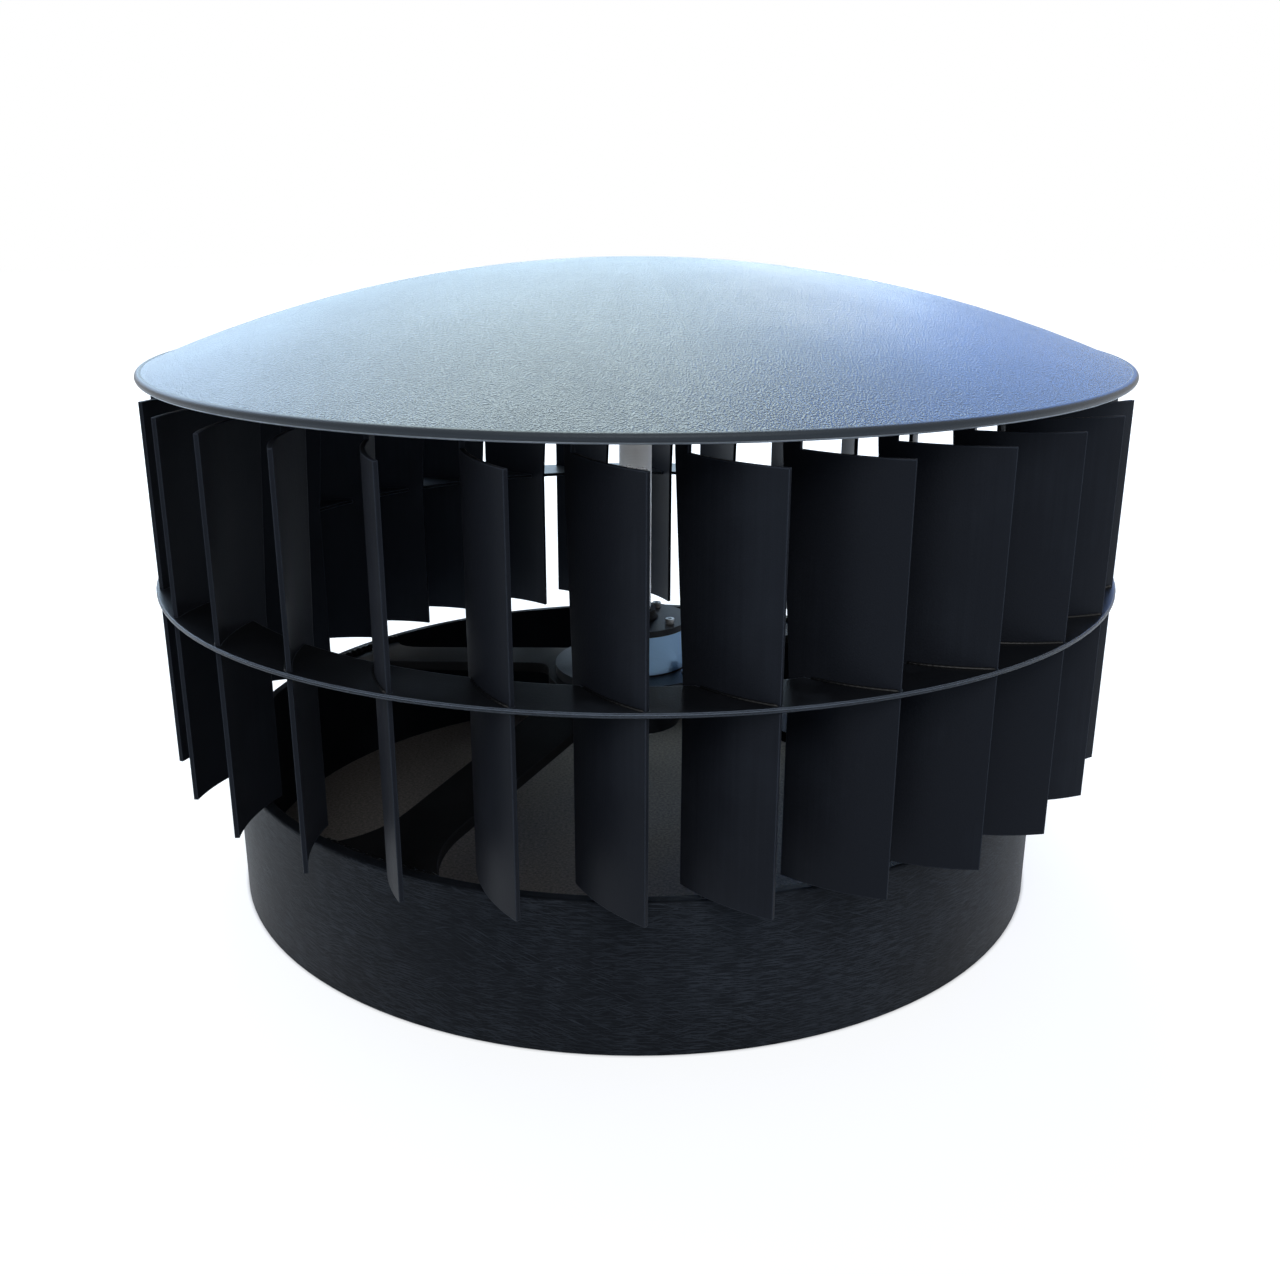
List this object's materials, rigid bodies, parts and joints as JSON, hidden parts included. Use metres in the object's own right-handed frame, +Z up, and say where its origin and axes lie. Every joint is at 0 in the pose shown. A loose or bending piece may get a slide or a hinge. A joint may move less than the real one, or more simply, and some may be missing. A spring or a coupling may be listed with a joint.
{
  "type": "ventilation cowl",
  "caption": "Turning ventilation cowl for a round duct: plain neck, ring of curved upright vanes tied by a flat ring, and a low domed cap.",
  "frame": {"origin": "centre of the neck's foot, at the bottom of the part", "axes": "+Z up along the shaft; +X to the right and -Y towards the viewer in the picture"},
  "size_m": [0.7159, 0.716, 0.4665],
  "materials": {
    "black_sheet": "satin black sheet",
    "cap_skin": "satin black, fine leathery grain",
    "cast_alloy": "turned, lightly weathered",
    "bright_steel": "turned",
    "zinc_steel": "zinc plated",
    "bearing_steel": "ground",
    "spring_steel": "blackened",
    "seal_rubber": "matt"
  },
  "bodies": {
    "base": {"neck": "black_sheet", "support_spider": "black_sheet", "bearing_housing": "cast_alloy", "housing_cover": "cast_alloy", "cover_screws": "zinc_steel", "housing_bolts": "zinc_steel", "housing_nuts": "zinc_steel", "upper_outer_ring": "bearing_steel", "lower_outer_ring": "bearing_steel", "retaining_ring": "spring_steel"},
    "rotor": {"upper_inner_ring": "bearing_steel", "lower_inner_ring": "bearing_steel", "spacer_sleeve": "bright_steel", "shaft": "bright_steel", "shaft_seal": "seal_rubber", "shaft_nuts": "zinc_steel", "shaft_washers": "zinc_steel", "hub_flange": "zinc_steel", "hub_bolts_set": "zinc_steel", "hub_nuts": "zinc_steel", "closing_plate": "black_sheet", "cap_dome": "cap_skin", "mid_ring": "black_sheet", "vane_01": "black_sheet", "vane_02": "black_sheet", "vane_03": "black_sheet", "vane_04": "black_sheet", "vane_05": "black_sheet", "vane_06": "black_sheet", "vane_07": "black_sheet", "vane_08": "black_sheet", "vane_09": "black_sheet", "vane_10": "black_sheet", "vane_11": "black_sheet", "vane_12": "black_sheet", "vane_13": "black_sheet", "vane_14": "black_sheet", "vane_15": "black_sheet", "vane_16": "black_sheet", "vane_17": "black_sheet", "vane_18": "black_sheet", "vane_19": "black_sheet", "vane_20": "black_sheet", "vane_21": "black_sheet", "vane_22": "black_sheet", "vane_23": "black_sheet", "vane_24": "black_sheet", "vane_25": "black_sheet", "vane_26": "black_sheet", "vane_27": "black_sheet", "vane_28": "black_sheet", "vane_29": "black_sheet", "vane_30": "black_sheet"},
    "upper_balls": {"upper_ball_cage": "bearing_steel"},
    "lower_balls": {"lower_ball_cage": "bearing_steel"}
  },
  "joints": [
    {"name": "rotor_spin", "type": "hinge", "parent": "base", "child": "rotor", "pos_m": [0, 0, 0.15], "axis": [0, 0, 1], "continuous": true},
    {"name": "upper_balls_spin", "type": "hinge", "parent": "base", "child": "upper_balls", "pos_m": [0, 0, 0.17], "axis": [0, 0, 1], "continuous": true},
    {"name": "lower_balls_spin", "type": "hinge", "parent": "base", "child": "lower_balls", "pos_m": [0, 0, 0.12], "axis": [0, 0, 1], "continuous": true}
  ],
  "couplings": [
    {"joint": "upper_balls_spin", "follows": "rotor_spin", "ratio": 0.382},
    {"joint": "lower_balls_spin", "follows": "rotor_spin", "ratio": 0.382}
  ]
}
